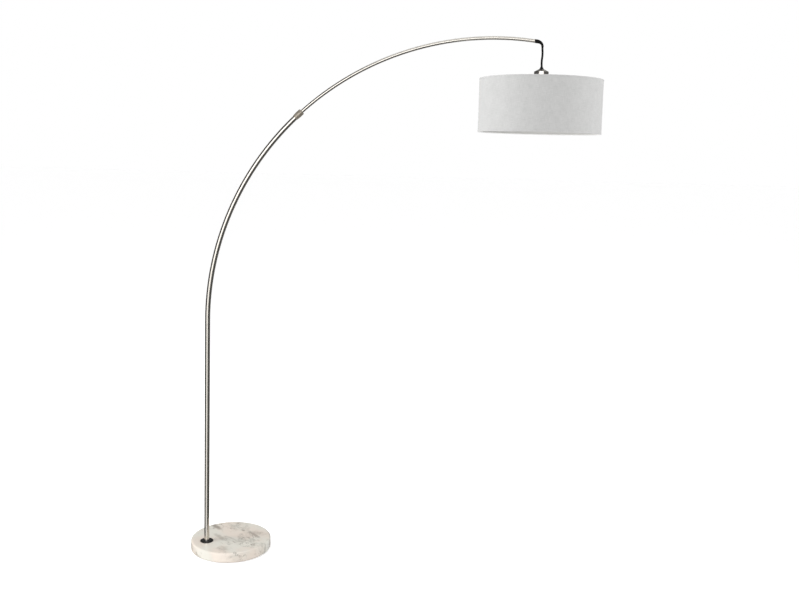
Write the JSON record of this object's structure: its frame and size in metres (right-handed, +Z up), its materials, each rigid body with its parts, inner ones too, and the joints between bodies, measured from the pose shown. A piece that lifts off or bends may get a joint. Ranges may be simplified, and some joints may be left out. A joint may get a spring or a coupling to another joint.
{
  "type": "arc floor lamp",
  "caption": "Arc floor lamp: round marble base, pole, telescoping curved arm and a drum shade hung on a short cord.",
  "frame": {"origin": "on the floor under the pole, on the underside of the base", "axes": "+X along the arm towards the shade, +Z up, +Y to the left of the arm"},
  "size_m": [1.5172, 0.457, 1.9833],
  "materials": {
    "felt": "felt",
    "marble": "polished white marble with grey veins",
    "zinc_steel": "zinc plated",
    "black_flange": "gloss black",
    "satin_nickel": "satin nickel",
    "black_rubber": "black rubber",
    "black_nylon": "black nylon",
    "bronze_collar": "satin bronze grey",
    "white_nylon": "white nylon",
    "elbow_rubber": "black rubber",
    "cord_sleeve": "black sheath",
    "cup_nickel": "brushed nickel",
    "phenolic": "black phenolic",
    "brass_contact": "plain brass",
    "white_wire": "white powder coat",
    "lining": "white styrene",
    "linen": "linen weave",
    "linen_tape": "linen tape",
    "bulb_glass": "frosted",
    "bulb_metal": "rolled aluminium",
    "bulb_insulator": "black glass with a solder tip"
  },
  "bodies": {
    "stand": {"felt_pad": "felt", "base_slab": "marble", "stem_washer": "zinc_steel", "stem_nut": "zinc_steel", "threaded_stem": "zinc_steel", "base_flange": "black_flange", "pole_foot_bush": "zinc_steel", "pole_tube": "satin_nickel", "outlet_grommet": "black_rubber", "pole_spigot": "zinc_steel", "spigot_screws": "zinc_steel", "swivel_washer": "black_nylon"},
    "arc": {"arc_socket": "satin_nickel", "arc_lower_tube": "satin_nickel", "swivel_grub_screw": "zinc_steel", "split_collet": "black_nylon", "collar_sleeve": "zinc_steel"},
    "collar": {"lock_ring": "bronze_collar"},
    "arm": {"arc_upper_tube": "satin_nickel", "slide_bush": "white_nylon", "tip_plug": "black_nylon"},
    "elbow": {"elbow_boot": "elbow_rubber"},
    "pendant": {"pendant_cord": "cord_sleeve", "cord_grip": "black_nylon", "grip_nut": "zinc_steel", "socket_cup": "cup_nickel", "lampholder_body": "phenolic", "screw_shell": "brass_contact", "centre_contact": "brass_contact", "spider_fitter": "white_wire", "shade_ring_nut": "phenolic", "shade_top_ring": "white_wire", "shade_bottom_ring": "white_wire", "shade_lining": "lining", "shade_fabric": "linen", "top_trim": "linen_tape", "bottom_trim": "linen_tape", "side_seam": "linen_tape", "bulb_glass": "bulb_glass", "bulb_cap": "bulb_metal", "bulb_contact": "bulb_insulator"}
  },
  "joints": [
    {"name": "arc_swivel", "type": "hinge", "parent": "stand", "child": "arc", "pos_m": [0, 0, 0.9], "axis": [0, 0, 1], "range_deg": [-60, 60]},
    {"name": "lock_twist", "type": "hinge", "parent": "arc", "child": "collar", "pos_m": [0.32937, 0, 1.67696], "axis": [0.7206, 0, 0.6933], "range_deg": [0, 90]},
    {"name": "arm_extend", "type": "hinge", "parent": "arc", "child": "arm", "pos_m": [1.074, 0, 0.903], "axis": [0, 1, 0], "range_deg": [-22, 5]},
    {"name": "elbow_swing", "type": "hinge", "parent": "arm", "child": "elbow", "pos_m": [1.19372, 0, 1.97031], "axis": [0.9938, 0, -0.1115], "range_deg": [-25, 25]},
    {"name": "pendant_swing", "type": "hinge", "parent": "elbow", "child": "pendant", "pos_m": [1.22422, 0, 1.94931], "axis": [0, 1, 0], "range_deg": [-18, 18]}
  ]
}
